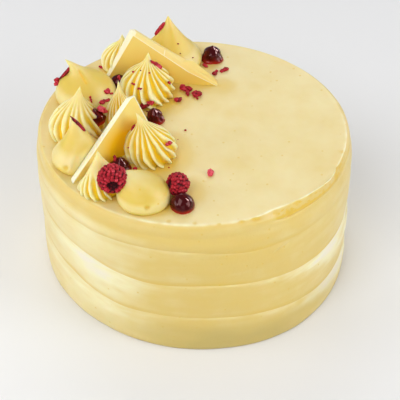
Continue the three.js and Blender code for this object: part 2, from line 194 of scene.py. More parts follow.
# The wall's painted light, its tone by angle, fades out over this height below the shoulder
WALL_FADE = 5
# Just above a ledge the tone is deeper by this much, up to this height, as painted shade caught in the
# crease; the painted highlight of a ledge ends this many times its fall below it
CAUGHT_TONE = 0.45
CAUGHT_HEIGHT = 4.5
HIGHLIGHT_FALLS = 1.9
# Painted light: angle and tone of the wall as a whole, which is painted paler on the left, where light falls
WALL_LIGHT_TONE = (
    (-180, -0.2), (-150, -0.4), (-130, -0.5), (-112, -0.25), (-100, -0.02), (-85, 0), (-62, 0.03),
    (-40, -0.07), (-15, -0.1), (30, -0.1), (180, -0.2),
)
# Painted shade: low down at the front the wall is painted darker, most at this angle, and ever more as
# the height falls from the first to the second
LOW_SHADE_ANGLE = math.radians(-72)
LOW_SHADE_HEIGHTS = (34, 6)
# Painted light and shade: tone of the top, painted paler as lit from above, what its rim adds to it at an
# angle, painted paler or deeper, and how far in from the rim, as a share
TOP_TONE = -0.3
RIM_TONE = (
    (-180, 0.3), (-150, 0.05), (-130, -0.1), (-100, -0.05), (-80, -0.1), (-50, 0), (60, 0),
    (120, 0.1), (180, 0.3),
)
RIM_FADE = 0.14
# How far the top is uneven, and how much it rises behind the lip
TOP_WAVE = 0.18
LIP_RISE = 0.3
# Scrapes and smears on the wall: angle and height of both ends, width, and depth (raised if negative)
SCRAPES = (
    ((-60.7, 76.8), (-57.4, 79.6), 0.9, 0.6), ((-57.4, 79.6), (-52.2, 83.1), 1, 0.6),
    ((-92, 86.6), (-84.8, 84.4), 0.5, 0.3), ((-84.8, 84.4), (-77, 84.1), 0.6, 0.35),
    ((-98, 17.8), (-90, 17), 0.8, 0.3), ((-90, 17), (-84, 15.4), 0.7, 0.25),
    ((-137, 74), (-121, 71), 2.2, -0.35), ((-128, 52), (-117, 46), 2, -0.3),
    ((-122, 14), (-104, 11), 1.5, 0.3), ((-75, 68), (-58, 66), 2.2, 0.3),
)
# No scrape reaches further than this above and below its middle
SCRAPE_REACH = 12
# The soft bead along the edge: its height, where it runs as a share of the way over, and its width
BEAD_HEIGHT = 0.35
BEAD_SHARE = 0.83
BEAD_WIDTH = 0.1
# Share of the way over the edge from which it is level
LEVEL_SHARE = 0.85
# Right of the front, the top edge is a raised lip over a steep wall that ends in a crease. Rows: angle,
# how strong the lip is, and how strong the wall and its crease are.
LIP_STRENGTH = (
    (-180, 0, 0), (-76, 0, 0), (-67, 0.5, 0), (-60, 1, 0.15), (-54, 1, 0.9), (-45, 1, 1), (-24, 1, 1),
    (-15, 0.8, 0.75), (-4, 0.6, 0.3), (12, 0.3, 0), (30, 0, 0), (180, 0, 0),
)
# Angle, and how far the rim reaches out there
LIP_REACH = (
    (-80, 0), (-64, 0.2), (-57, -1.2), (-50, -0.5), (-37, 1.4), (-28, 2.9), (-20, 1.4), (-3, 1),
    (20, 0),
)
# Share of the way over the edge, share of the way out from the rim to the shoulder, and height
LIP_CURVE = (
    (0, 1, 101), (0.1, 0.97, 102.1), (0.18, 0.8, 102.9), (0.23, 0.68, 102.7), (0.28, 0.63, 103.7),
    (0.45, 0.4, 106.6), (0.62, 0.16, 109), (0.7, 0.08, 109.8), (0.78, 0.02, 110.35),
    (0.85, -0.03, 110.6), (0.92, -0.17, 110.5), (1, -0.42, 110.3),
)
# How deep the coarse and the fine tears of the lip are, and how many waves of them there are
TEARS = ((0.3, 22), (0.15, 55))
# Tone of the crease and of a nick, painted shade in their hollows, of the flecks of the wall above the
# crease, and where the crease and the crest, a painted highlight, run
CREASE_TONE = 1.8
CREASE_SHARE = 0.31
CREASE_WIDTH = 0.045
FLECK_TONE = 1.1
NICK_TONE = 1.9
CREST_SHARE = 0.8
CREST_WIDTH = 0.1
# At this angle the edge has a ragged pale crest too, a painted highlight, over this many degrees
RAGGED_DEGREES = -100
RAGGED_REACH = 25
# Nicks and pits in the edge: angle, share of the way over the edge, width and depth
NICKS = (
    (-70.5, 0.72, 1.3, 0.6), (-65.4, 0.66, 1.5, 0.7), (-63.6, 0.6, 1, 0.5), (-46.5, 0.6, 1.4, 0.45),
    (-39.5, 0.62, 1.2, 0.4), (-21.5, 0.74, 1.5, 0.7), (-23.5, 0.45, 1.8, 0.6), (-19, 0.5, 1.3, 0.5),
    (-12, 0.86, 1.2, 0.6), (-33, 0.35, 1.1, 0.4), (-88, 0.9, 0.9, 0.4), (-79, 0.8, 0.8, 0.4),
    (-98, 0.95, 0.9, 0.4), (-56, 0.5, 1.5, 0.4), (-51, 0.36, 1.6, 0.5),
)
# Share of a nick's depth by which it lowers the edge
NICK_FALL = 0.4


def clamped(value):
    return min(max(value, 0), 1)


def smooth(low, high, value):
    """0 up to low, 1 past high, and an even change between them; low may be the greater."""
    share = clamped((value - low) / (high - low))
    return share * share * (3 - 2 * share)


def mixed(first, second, share):
    return first + (second - first) * share


def bell(distance):
    """1 at no distance, and falling softly to almost nothing at a distance of 2."""
    return math.exp(-(distance ** 2))


def polar(reach, angle, height):
    """The point at a distance from the z axis, at an angle round it and at a height."""
    return Vector((reach * math.cos(angle), reach * math.sin(angle), height))


def changing(place, usual, broad, fine):
    """A value that is uneven from place to place, in broad changes and in ones a third of their size."""
    return usual + broad * noise(place) + fine * noise(place * 3)


def along(rows, at, column=1):
    """Value at a place on a smooth curve through rows that start with their place."""
    at = min(max(at, rows[0][0]), rows[-1][0])
    row = 0
    while row < len(rows) - 2 and at > rows[row + 1][0]:
        row += 1
    low, high = rows[row], rows[row + 1]
    before, after = rows[max(row - 1, 0)], rows[min(row + 2, len(rows) - 1)]
    span = high[0] - low[0]
    share = (at - low[0]) / span
    start_slope = (high[column] - before[column]) / (high[0] - before[0]) * span
    end_slope = (after[column] - low[column]) / (after[0] - low[0]) * span
    rise = high[column] - low[column]
    bend = 3 * rise - 2 * start_slope - end_slope
    twist = start_slope + end_slope - 2 * rise
    return low[column] + share * (start_slope + share * (bend + share * twist))


def from_line(here, start, end):
    """How far a place is from the nearest point between two others, which may be one and the same."""
    line = end - start
    share = clamped((here - start).dot(line) / max(line.length_squared, 1))
    return (here - start - line * share).length


def waves_at(waves, angle):
    return sum(size * math.cos(count * angle - math.radians(phase)) for count, size, phase in waves)


def spun(outline, turns):
    """A closed bmesh: an outline of (radius, height) points spun once round the z axis."""
    shape = bmesh.new()
    points = [shape.verts.new((radius, 0, height)) for radius, height in outline]
    for low, high in zip(points, points[1:]):
        shape.edges.new((low, high))
    bmesh.ops.spin(
        shape, geom=shape.verts[:] + shape.edges[:], cent=(0, 0, 0), axis=(0, 0, 1),
        angle=math.radians(360), steps=turns, use_merge=True,
    )
    bmesh.ops.remove_doubles(shape, verts=shape.verts, dist=1e-5)
    bmesh.ops.recalc_face_normals(shape, faces=shape.faces)
    return shape


def finished(shape, name, material, slot, *nodes):
    """Turns a bmesh in millimetres into a smooth object in metres that stands for CAD nodes."""
    bmesh.ops.scale(shape, vec=(MM, MM, MM), verts=shape.verts)
    piece = bpy.data.objects.new(name, bpy.data.meshes.new(name))
    shape.to_mesh(piece.data)
    shape.free()
    piece.data.shade_smooth()
    piece.data.materials.append(material)
    scene.collection.objects.link(piece)
    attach(piece, "root")
    if nodes:
        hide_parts(*nodes)
    return piece


def rim_radius(angle):
    return RIM_RADIUS + waves_at(RIM_WAVES, angle) + along(LIP_REACH, math.degrees(angle))


def ledge_rows(angle):
    """Nominal height, true height, step, fall and paleness of the edges of the bands, from the base up."""
    degrees = math.degrees(angle)
    rows = [(0, 0, 0, 1, 0)]
    for nominal, ledge in LEDGES.items():
        rows.append((nominal, *(along(ledge, degrees, column) for column in range(1, 5))))
    rows.append((SHOULDER, SHOULDER, 0, 1, 0))
    return rows


def banded(angle, height):
    """True height of a row of points, how far the band there stands out, and its tone."""
    rows = ledge_rows(angle)
    row = 0
    while row < len(rows) - 2 and height > rows[row + 1][0]:
        row += 1
    low, true_low, step_below = rows[row][:3]
    high, true_high, step, fall, highlight = rows[row + 1]
    share = (height - low) / (high - low)
    true = mixed(true_low, true_high, share)
    below = (true_high - true) / fall
    step = max(step * changing(polar(1, angle, high) * 2, *STEP_CHANGES), 0)
    relief = BAND_BULGE * (4 * share * (1 - share) - 0.6) + mixed(-step_below / 2, step / 2, share)
    relief -= step * max(0, 1 - below) ** SHELF_CURVE
    # Painted light and shade: the painted highlight below each ledge, the wall painted paler by angle, and
    # painted shade caught above each ledge
    highlight *= max(changing(polar(4, angle, true / 5), *HIGHLIGHT_CHANGES), 0)
    shade_patches = clamped(0.6 + 1.5 * noise(polar(1, angle, high) * 1.5))
    tone = along(WALL_LIGHT_TONE, math.degrees(angle)) * smooth(SHOULDER, SHOULDER - WALL_FADE, true)
    tone += CAUGHT_TONE * shade_patches * smooth(CAUGHT_HEIGHT, 0.5, true - true_low)
    return true, relief, tone - highlight * smooth(HIGHLIGHT_FALLS, 0.1, below)


def scraped(angle, height):
    """Depth of the scrapes at a place on the wall."""
    depth = 0
    for start, end, width, deep in SCRAPES:
        if abs(height - (start[1] + end[1]) / 2) > SCRAPE_REACH:
            continue
        start = Vector((math.radians(start[0]) * CAKE_RADIUS, start[1]))
        end = Vector((math.radians(end[0]) * CAKE_RADIUS, end[1]))
        depth += deep * bell(from_line(Vector((angle * CAKE_RADIUS, height)), start, end) / width)
    return depth


def side_radius(angle, height, relief):
    """Radius of the side, where its bands stand out by their relief."""
    share = height / CAKE_HEIGHT
    pull = REAR_PULL * max(0, math.cos(angle - REAR_ANGLE)) ** 3 * share ** 2
    waves = mixed(waves_at(BASE_WAVES, angle), waves_at(SIDE_WAVES, angle), share)
    uneven = sum(size * noise(polar(close, angle, height / tall)) for size, close, tall in SWELLS)
    uneven -= scraped(angle, height)
    return CAKE_RADIUS + along(SIDE_CURVE, height) - pull + waves + relief + uneven


def low_shade_at(angle, height):
    """How much painted shade darkens the low front of the wall, from 0 to about 1."""
    front = max(0, math.cos(angle - LOW_SHADE_ANGLE)) ** 3
    return smooth(*LOW_SHADE_HEIGHTS, height) * front * (0.9 + 0.7 * noise(polar(3, angle, height / 12)))


def nicked(angle, over):
    """Depth of the nicks at a place on the edge."""
    depth = 0
    for degrees, share, width, deep in NICKS:
        aside = (angle - math.radians(degrees)) * RIM_RADIUS
        above = (over - share) * EDGE_WIDTH
        depth += deep * math.exp(-(aside * aside / 2 + above * above) / (width * width))
    return depth


def top_tone(angle, reach):
    """Painted light of the top: its tone at an angle and a share of the way in from its rim."""
    return TOP_TONE + along(RIM_TONE, math.degrees(angle)) * smooth(RIM_FADE, 0, reach)


def lip_tone(angle, over, crest_share, wall_share):
    """What the lip adds to the tone of the edge: a deep crease, painted shade, deep flecks above it and a
    pale crest, a painted highlight.
    """
    around = polar(1, angle, 0)
    width = CREASE_WIDTH + 0.03 * noise(around * 14)
    uneven = max(0, 0.9 + 1.6 * noise(around * 11))
    crease = CREASE_TONE * uneven * wall_share * bell((over - CREASE_SHARE) / width)
    flecks = smooth(0.24, 0.4, noise(around * 80 + Vector((0, 0, 8 * over))))
    flecks *= FLECK_TONE * wall_share * smooth(0.26, 0.34, over) * smooth(0.72, 0.6, over)
    strength = 0.15 + 0.95 * crest_share
    strength += 0.8 * bell((math.degrees(angle) - RAGGED_DEGREES) / RAGGED_REACH)
    ragged = max(0, 0.7 + 1.1 * noise(around * 18))
    return crease + flecks - ragged * strength * bell((over - CREST_SHARE) / CREST_WIDTH)


def edge_point(angle, over):
    """Radius, height and tone at a share of the way over the edge: soft, but sharp along the lip."""
    rim = rim_radius(angle)
    shoulder = side_radius(angle, SHOULDER, banded(angle, SHOULDER)[1])
    turn = math.radians(90) * min(over / LEVEL_SHARE, 1)
    soft_radius = mixed(rim, shoulder, max(math.cos(turn), 0) ** EDGE_SQUARENESS)
    soft_radius -= TOP_INSET * smooth(LEVEL_SHARE, 1, over)
    soft_height = mixed(SHOULDER, CAKE_HEIGHT, math.sin(turn) ** EDGE_SQUARENESS)
    soft_height += BEAD_HEIGHT * bell((over - BEAD_SHARE) / BEAD_WIDTH)
    lip_radius = mixed(rim, shoulder, along(LIP_CURVE, over, 1))
    lip_height = along(LIP_CURVE, over, 2)
    crest_share = along(LIP_STRENGTH, math.degrees(angle), 1)
    wall_share = along(LIP_STRENGTH, math.degrees(angle), 2)
    share = mixed(wall_share, crest_share, smooth(0.35, 0.7, over))
    torn = share * sum(size * noise(polar(1, angle, 0) * count) for size, count in TEARS)
    depth = nicked(angle, over)
    radius = mixed(soft_radius, lip_radius, share) - depth + torn * smooth(0.3, 0.5, over)
    height = mixed(soft_height, lip_height, share) - NICK_FALL * depth + 0.5 * torn
    # Nicks are painted deeper, as shade in their hollows
    tone = lip_tone(angle, over, crest_share, wall_share) + NICK_TONE * depth
    return radius, height, tone + top_tone(angle, 0) * smooth(0.65, 0.9, over)


def top_point(angle, radius):
    """Radius, height and tone at a place on the top, given by its radius on the plain outline."""
    reach = (CAKE_RADIUS - EDGE_WIDTH - radius) / (CAKE_RADIUS - EDGE_WIDTH)
    wave = TOP_WAVE * noise(polar(radius, angle, 3) / 18) * smooth(0, 0.05, reach)
    proud = LIP_RISE * along(LIP_STRENGTH, math.degrees(angle), 1) * (1 - smooth(0, 0.12, reach))
    inner = rim_radius(angle) - TOP_INSET
    return inner * (1 - reach), CAKE_HEIGHT + proud + wave, top_tone(angle, reach)


def icing_point(radius, height, angle):
    """Where a point of the plain spun outline lies on the real icing, and its tone."""
    if height <= SHOULDER:
        true, relief, tone = banded(angle, height)
        if height > 0:
            return side_radius(angle, true, relief), true, tone
        return radius * side_radius(angle, 0, relief) / CAKE_RADIUS, 0, 0
    over = (CAKE_RADIUS - radius) / EDGE_WIDTH
    if over > 1:
        return top_point(angle, radius)
    return edge_point(angle, over)


# Rows of points up the side: evenly spread ones, and closer ones at these steps about each ledge
SHELF_STEPS = (
    -12, -9.5, -7.5, -6, -4.8, -3.8, -3, -2.3, -1.7, -1.2, -0.8, -0.5, -0.25, 0, 0.15, 0.5, 1.2, 2.2,
)
side_rows = [0.6, 1.5, 3, 5, 7.5, 10, 13, 33, 36, 39, 42, 63, 66, 69, 72, 92, 94, 96, 98, 99.5, SHOULDER]
for nominal in LEDGES:
    side_rows += [nominal + step for step in SHELF_STEPS]
side_rows.sort()
BASE_RINGS = (0, 50, 90, 103, CAKE_RADIUS - 0.8)
EDGE_ROWS = 38
TOP_ROWS = 48
outline = [(radius, 0) for radius in BASE_RINGS] + [(CAKE_RADIUS, height) for height in side_rows]
for row in range(1, EDGE_ROWS + 1):
    over = row / EDGE_ROWS
    outline.append((CAKE_RADIUS - EDGE_WIDTH * over, mixed(SHOULDER, CAKE_HEIGHT, over)))
for row in range(1, TOP_ROWS + 1):
    outline.append(((CAKE_RADIUS - EDGE_WIDTH) * (1 - row / TOP_ROWS), CAKE_HEIGHT))

icing = spun(outline, ICING_TURNS)
icing_tone = icing.verts.layers.float.new("tone")
icing_low_shade = icing.verts.layers.float.new("low_shade")
for point in icing.verts:
    angle = math.atan2(point.co.y, point.co.x)
    radius, height, point[icing_tone] = icing_point(math.hypot(point.co.x, point.co.y), point.co.z, angle)
    point[icing_low_shade] = low_shade_at(angle, height)
    shift = TOP_SHIFT * height / CAKE_HEIGHT
    point.co = polar(radius, angle, height) + shift.to_3d()


def noded(material, kind, output, sockets, **settings):
    """An output of a new shader node, which has these settings and gets these values."""
    node = material.node_tree.nodes.new("ShaderNode" + kind)
    for setting, value in settings.items():
        setattr(node, setting, value)
    plug(material, node, sockets)
    return node.outputs[output]


def ranged(material, value, low, high, start=0, end=1):
    """Turns a value between low and high into one between start and end."""
    sockets = {"Value": value, "From Min": low, "From Max": high, "To Min": start, "To Max": end}
    return noded(material, "MapRange", "Result", sockets)


def blended(material, share, first, second):
    """A colour at a share of the way from the first to the second."""
    sockets = {"Factor": share, "A": first, "B": second}
    return noded(material, "Mix", "Result", sockets, data_type="RGBA")


def embossed(material, height, strength, distance):
    sockets = {"Height": height, "Strength": strength, "Distance": distance}
    return noded(material, "Bump", "Normal", sockets)


def cloudy(material, place, scale, detail):
    """Soft noise with this many features in a metre, and finer ones in so many layers."""
    return noded(material, "TexNoise", "Fac", {"Vector": place, "Scale": scale, "Detail": detail})


def attribute(material, name):
    """The value that the mesh's points or faces hold under a name."""
    return noded(material, "Attribute", "Fac", {}, attribute_name=name)


def reckoned(material, operation, *values, clamp=False):
    return noded(material, "Math", "Value", dict(enumerate(values)), operation=operation, use_clamp=clamp)


def ramped(material, value, first, last, *between):
    """A colour that runs from the first to the last, through others at their shares of the way."""
    ramp = material.node_tree.nodes.new("ShaderNodeValToRGB")
    ramp.color_ramp.elements[0].color = first
    ramp.color_ramp.elements[1].color = last
    for share, colour in between:
        ramp.color_ramp.elements.new(share).color = colour
    plug(material, ramp, {"Fac": value})
    return ramp.outputs["Color"]


# Painted shade: the darker colour of the low front of the wall, where a mesh attribute marks it
LOW_SHADE_COLOUR = (0.57, 0.44, 0.13, 1)
# Past a tone of -1 the cream turns whitish, a painted highlight; the ramp of its colours runs this far each
# way
HIGHLIGHT_WHITE = (0.86, 0.8, 0.63, 1)
TONE_REACH = 1.6
# How much the tone changes in soft blotches, how much deeper a pit is painted, as shade, and the finest
# relief
MOTTLE = 0.12
PIT_TONE = 0.5
FINE_RELIEF = 0.5 * MM


def buttercream(name, pale, middle, deep, *, clearness, gloss, dullness, sheen, grain, streaks):
    """Buttercream: pale yellow and a little clear. The mesh's tone attribute paints light and shade: it runs
    from -1, painted pale as lit and highlighted, and smoother, to 1, painted shade where light is caught in
    folds and the yellow is deep. A second attribute paints the low front darker, as shade."""
    material = new_material(name)
    place = noded(material, "TexCoord", "Object", {})
    tone = attribute(material, "tone")
    low_shade = attribute(material, "low_shade")
    blotches = cloudy(material, place, 45, 3)
    mottled = ranged(material, blotches, 0.3, 0.7, -MOTTLE, MOTTLE)
    level = noded(material, "VectorMath", "Vector", {0: place, 1: (1, 1, 7)}, operation="MULTIPLY")
    scrapes = cloudy(material, level, 22, 4)
    streaked = ranged(material, scrapes, 0.3, 0.7, -streaks, streaks)
    total = reckoned(material, "ADD", reckoned(material, "ADD", mottled, streaked), tone)
    bubbles = noded(material, "TexVoronoi", "Distance", {"Vector": place, "Scale": 115})
    pits = ranged(material, bubbles, 0.05, 0.11, 1, 0)
    pitted = reckoned(material, "MULTIPLY_ADD", pits, PIT_TONE, total)
    tint = ramped(
        material, ranged(material, pitted, -TONE_REACH, TONE_REACH), HIGHLIGHT_WHITE, deep,
        (0.5, middle), (0.5 - 0.5 / TONE_REACH, pale), (0.5 + 0.5 / TONE_REACH, deep),
    )
    fine = cloudy(material, place, 420, 4)
    relief = reckoned(material, "SUBTRACT", fine, pits)
    surface(material, {
        "Base Color": blended(material, low_shade, tint, LOW_SHADE_COLOUR),
        "Roughness": ranged(material, total, -0.8, 0.4, dullness - 0.1, dullness),
        "Normal": embossed(material, relief, grain, FINE_RELIEF),
        "Subsurface Weight": clearness,
        "Subsurface Radius": (1.0, 0.65, 0.25),
        "Subsurface Scale": 7 * MM,
        "Specular IOR Level": gloss,
        "Sheen Weight": sheen,
        "Sheen Roughness": 0.4,
    })
    return material


# Ramp of the icing: pale where light and highlights are painted, its own colour, and deep where shade is
# painted
PALE_ICING = (0.88, 0.82, 0.5, 1)
ICING_COLOUR = (0.745, 0.56, 0.165, 1)
DEEP_ICING = (0.75, 0.5, 0.05, 1)
icing_cream = buttercream(
    "icing_cream", PALE_ICING, ICING_COLOUR, DEEP_ICING,
    clearness=0.35, gloss=0.55, dullness=0.52, sheen=0.1, grain=0.25, streaks=0.09,
)
icing_piece = finished(icing, "icing", icing_cream, "icing", "cake_body")

# Kisses: plain mounds of buttercream, piped straight down and drawn up to a point that leans.
# Each profile gives the share of the height and the share of the radius there.
SINK = 0.4
KISS_ROWS = 56
KISS_TURNS = 96
KISS_UNEVENNESS = 0.035
KISS_PLACES = (0, 0.07, 0.17, 0.28, 0.4, 0.52, 0.64, 0.76, 0.86, 0.94, 1)
SLENDER_PROFILE = tuple(zip(KISS_PLACES, (0.97, 1.09, 1.1, 0.96, 0.76, 0.58, 0.42, 0.27, 0.15, 0.07, 0)))
FULL_PROFILE = tuple(zip(KISS_PLACES, (0.96, 1.06, 1.08, 1.04, 0.94, 0.76, 0.5, 0.29, 0.16, 0.08, 0)))
BLUNT_PROFILE = (
    (0, 0.94), (0.1, 1.01), (0.25, 1), (0.42, 0.95), (0.58, 0.8), (0.72, 0.6), (0.84, 0.4),
    (0.94, 0.21), (1, 0),
)


def mound(place, radius, height, lean, bend, profile, **more):
    """Sizes of a piped piece. Its tip leans this far, and the bend says how late the lean begins."""
    return dict(place=place, radius=radius, height=height, lean=lean, bend=bend, profile=profile, **more)


KISSES = {
    "kiss_front_left": mound((-79.5, -39.7), 16.4, 34.8, (-4, 3.6), 2.5, SLENDER_PROFILE),
    "kiss_front": mound((-34.9, -75.7), 17.6, 21.4, (-12.9, 1.2), 2.9, BLUNT_PROFILE),
    "kiss_left": mound((-79.8, 27.7), 19.5, 29.6, (-14.2, 4.2), 3.6, FULL_PROFILE),
    # kiss_rear's tone is painted deeper all over, as painted shade
    "kiss_rear": mound((-22.9, 71), 20.3, 36.6, (-2, 5.8), 2.7, SLENDER_PROFILE, tone=0.25),
}
# Marks pressed into a kiss: its start and end above the cake's top, its width and its depth
KISS_MARKS = {
    "kiss_left": (((-83.4, 26, 24.5), (-78.9, 20.2, 18.5), 1.3, 1.3),),
    "kiss_front_left": (((-87.1, -55.5, 6.4), (-87.1, -55.5, 6.4), 1.5, 1.7),),
    "kiss_front": (((-32.2, -92.3, 6.9), (-32.2, -92.3, 6.9), 1.4, 1.6),),
}
# A pressed mark is painted deeper, as shade in its groove
MARK_TONE = 1.1
# The kiss at the front left is flattened against the back of the shard that stands beside it
SHARD_BACK_PLACE = Vector((-85.2, -60.3, CAKE_HEIGHT))
SHARD_BACK_FACING = Vector((0.673, -0.709, 0.208))
FLATTENING_REACH = 2
# Rows of points up a piped piece stand closer near its base
ROW_SPREAD = 1.15


def above_top(place):
    """The point in the cake's frame for a place above its top."""
    return Vector(place) + Vector((0, 0, CAKE_HEIGHT))


def piped(piece, rows, turns, width_at, tone_at):
    """A bmesh of a piped piece, with a leaning axis and closed at both ends. width_at gives the share
    of the radius and tone_at the tone of the cream, at an angle and a share of the height."""
    outline = [(0, 0), (0.6, 0)]
    outline += [(1, (row / rows) ** ROW_SPREAD) for row in range(rows)]
    outline += [(0.5, 1), (0, 1)]
    shape = spun(outline, turns)
    tone = shape.verts.layers.float.new("tone")
    lean = Vector(piece["lean"])
    for point in shape.verts:
        share = point.co.z
        angle = math.atan2(point.co.y, point.co.x)
        wide = along(piece["profile"], share) * width_at(angle, share) * piece["radius"]
        wide *= min(math.hypot(point.co.x, point.co.y), 1)
        middle = Vector(piece["place"]) + lean * share ** piece["bend"]
        height = CAKE_HEIGHT - SINK + share * (piece["height"] + SINK)
        point.co = polar(wide, angle, height) + middle.to_3d()
        point[tone] = tone_at(angle, share)
    bmesh.ops.remove_doubles(shape, verts=shape.verts, dist=1e-3)
    return shape


def pressed(shape, start, end, width, depth):
    """Presses a soft groove into a shape between two points above the cake's top, and paints it deeper, as
    shade.
    """
    tone = shape.verts.layers.float["tone"]
    shape.normal_update()
    for point in shape.verts:
        away = from_line(point.co, above_top(start), above_top(end))
        if away < 3 * width:
            near = bell(away / width)
            point.co -= point.normal * depth * near
            point[tone] += MARK_TONE * near


def flattened(shape):
    """Flattens a shape against the back of the shard, with a soft turn where they meet, and paints the
    flattened side paler, as painted light.
    """
    tone = shape.verts.layers.float["tone"]
    for point in shape.verts:
        past = (point.co - SHARD_BACK_PLACE).dot(SHARD_BACK_FACING)
        point.co -= SHARD_BACK_FACING * (past + math.hypot(past, FLATTENING_REACH)) / 2
        point[tone] -= 0.25 * smooth(-6, 0, past)


# Ramp of the kisses: pale where light is painted, their own colour, and deep where shade is painted
PALE_KISS = (0.91, 0.82, 0.47, 1)
KISS_COLOUR = (0.74, 0.55, 0.09, 1)
DEEP_KISS = (0.84, 0.55, 0.03, 1)
kiss_cream = buttercream(
    "kiss_cream", PALE_KISS, KISS_COLOUR, DEEP_KISS,
    clearness=0.7, gloss=0.45, dullness=0.5, sheen=0.04, grain=0.12, streaks=0.05,
)
creams = {}
for name, kiss in KISSES.items():
    seed = Vector(kiss["place"]).to_3d()

    def kiss_width(angle, share):
        return 1 + KISS_UNEVENNESS * noise(polar(1, angle, 2 * share) * 1.3 + seed) * (1 - share)

    # Painted light and shade: a deeper foot as shade, paler lower flanks and tip as painted light
    def kiss_tone(angle, share):
        foot = 0.35 * smooth(0.08, 0, share)
        flank = 0.5 * smooth(0.05, 0.2, share) * smooth(0.5, 0.3, share)
        tip = 0.5 * smooth(0.6, 1, share)
        return kiss.get("tone", 0) + foot - flank - tip

    shape = piped(kiss, KISS_ROWS, KISS_TURNS, kiss_width, kiss_tone)
    for mark in KISS_MARKS.get(name, ()):
        pressed(shape, *mark)
    if name == "kiss_front_left":
        flattened(shape)
    creams[name] = finished(shape, name + "_cream", kiss_cream, "buttercream", name)

# Swirls: buttercream piped through a star nozzle with many teeth, so ridges run from the drawn tip
# down to the base, where they turn a little to one side.
SWIRL_ROWS = 60
RIDGES = 16
TURNS_PER_RIDGE = 12
GROOVE_DEPTH = 0.18
RIDGE_SHARPNESS = 1.25
SWIRL_TWIST = math.radians(38)
TWIST_CURVE = 2.4
RIDGE_WANDER = (0.16, 0.05)
# Tones of the ridges' crests, painted pale as highlight, of the valleys between them, painted deep as
# shade, and of the cream where it has no ridges
CREST_TONE = -0.8
VALLEY_TONE = 1
PLAIN_TONE = -0.5
VALLEY_CURVE = 1.6
SWIRL_PLACES = (0, 0.07, 0.18, 0.3, 0.42, 0.54, 0.65, 0.75, 0.85, 0.93, 1)
SWIRL_PROFILE = tuple(zip(SWIRL_PLACES, (0.9, 0.98, 1.02, 0.97, 0.84, 0.64, 0.42, 0.24, 0.12, 0.06, 0)))
CONE_PROFILE = tuple(zip(SWIRL_PLACES, (0.95, 1, 0.99, 0.88, 0.73, 0.57, 0.42, 0.28, 0.16, 0.08, 0)))
# A pressed side has its angle and the share of the radius that is lost there; ridges fade out between
# the two shares of the height of a plain tip
PLAIN_TIP = (0.5, 0.9)
SWIRLS = {
    "swirl_right": mound((-32.1, -31.2), 17.7, 35, (-10.3, 0.9), 2.2, SWIRL_PROFILE),
    "swirl_centre": mound((-37.6, 34.4), 19.2, 33, (0.5, 3.8), 2.5, SWIRL_PROFILE),
    "swirl_front": mound(
        (-63.9, -66.4), 15.2, 28, (-1.8, 4.4), 1.5, CONE_PROFILE,
        pressed_side=(150, 0.3), plain_tip=(0.3, 0.62),
    ),
    "swirl_left": mound(
        (-83.5, -10.9), 18.4, 37, (2.8, 4.4), 2.6, SWIRL_PROFILE, plain_tip=(0.3, 0.85),
    ),
    "swirl_slim": mound((-54.3, -2.7), 10.4, 39.8, (-1.2, 0), 2.2, SWIRL_PROFILE),
    "swirl_rear": mound((-56, 66), 15.6, 26, (-0.6, 1.5), 2.2, SWIRL_PROFILE),
}


def ridge_at(angle, share, seed):
    """1 on the crest of a ridge and 0 in the valley between two."""
    turned = angle - SWIRL_TWIST * (1 - share) ** TWIST_CURVE
    turned = changing(polar(1, angle, share) * 2 + seed, turned, *RIDGE_WANDER)
    return (0.5 + 0.5 * math.cos(RIDGES * turned)) ** RIDGE_SHARPNESS


PALE_SWIRL = (0.98, 0.92, 0.56, 1)
DEEP_SWIRL = (0.9, 0.6, 0.01, 1)
swirl_cream = buttercream(
    "swirl_cream", PALE_SWIRL, KISS_COLOUR, DEEP_SWIRL,
    clearness=0.6, gloss=0.1, dullness=0.48, sheen=0.03, grain=0.12, streaks=0.05,
)
for name, swirl in SWIRLS.items():
    seed = Vector(swirl["place"]).to_3d() / 7

    def ridged(share):
        return 1 - smooth(*swirl.get("plain_tip", PLAIN_TIP), share)

    def swirl_width(angle, share):
        around = polar(1, angle, 1.3 * share)
        depth = GROOVE_DEPTH * ridged(share) * (1.1 + 0.5 * noise(around * 2.2 + seed))
        ruffle = 0.05 * noise(around * 3.5 - seed) * smooth(0.5, 0.1, share)
        side, amount = swirl.get("pressed_side", (0, 0))
        squeeze = amount * max(0, math.cos(angle - math.radians(side))) ** 2 * smooth(0, 0.3, share)
        return 1 + ruffle - depth * (1 - ridge_at(angle, share, seed)) - squeeze

    # Painted light and shade: pale crests as highlight, deep valleys as shade
    def swirl_tone(angle, share):
        valley = (1 - ridge_at(angle, share, seed)) ** VALLEY_CURVE
        return mixed(PLAIN_TONE, mixed(CREST_TONE, VALLEY_TONE, valley), ridged(share))

    shape = piped(swirl, SWIRL_ROWS, RIDGES * TURNS_PER_RIDGE, swirl_width, swirl_tone)
    creams[name] = finished(shape, name + "_cream", swirl_cream, "buttercream", name)

